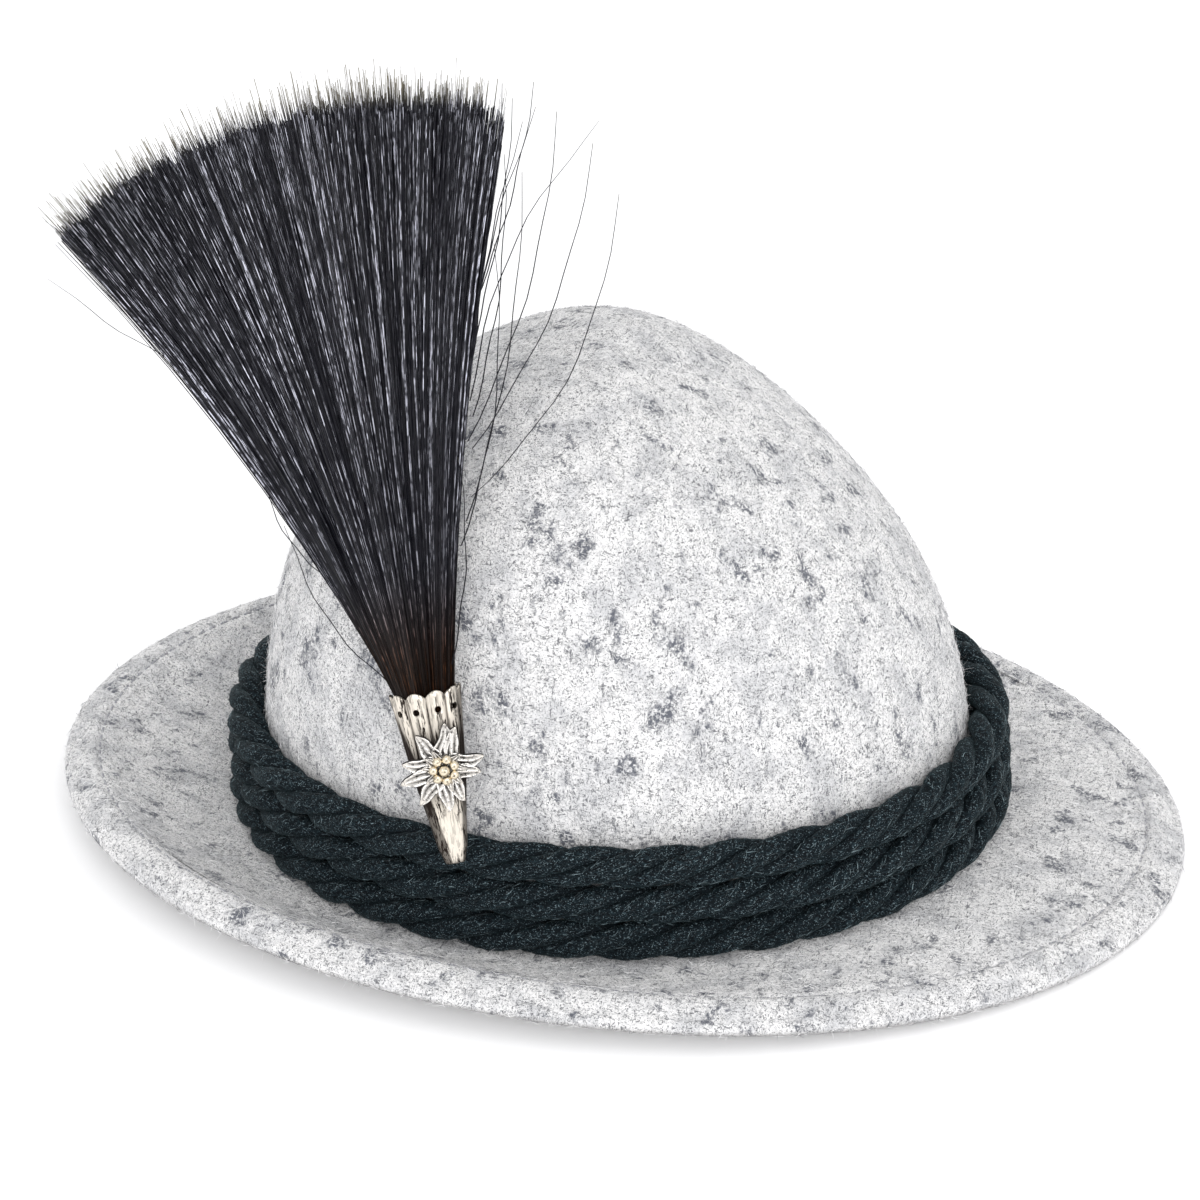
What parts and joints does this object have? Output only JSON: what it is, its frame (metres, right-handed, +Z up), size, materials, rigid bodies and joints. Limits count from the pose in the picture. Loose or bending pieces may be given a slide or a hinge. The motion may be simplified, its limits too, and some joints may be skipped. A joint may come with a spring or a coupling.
{
  "type": "tyrolean hat",
  "caption": "Grey marled felt hat with a tall dome crown, a hemmed brim, twisted green cords round the crown, and a hair brush in a silver holder with an edelweiss.",
  "frame": {"origin": "Middle of the brim's length and width, on the surface the hat rests on.", "axes": "+X is the front of the hat, +Y the wearer's left, +Z up. The hat lies as it rests by itself, its front raised a little over two degrees."},
  "size_m": [0.3174, 0.244, 0.2204],
  "materials": {
    "felt": "light grey marled wool felt with dark specks",
    "cord": "dark blue-green twisted yarn cord",
    "holder_silver": "antique silver, darkened and brushed",
    "flower_silver": "antique silver casting, bright on its ridges",
    "hair": "black-blue animal hair with brown roots"
  },
  "bodies": {
    "root": {"hat_body": "felt", "cord_lower": "cord", "cord_middle": "cord", "cord_upper": "cord", "holder": "holder_silver", "edelweiss": "flower_silver", "hair_brush": "hair"}
  },
  "joints": []
}
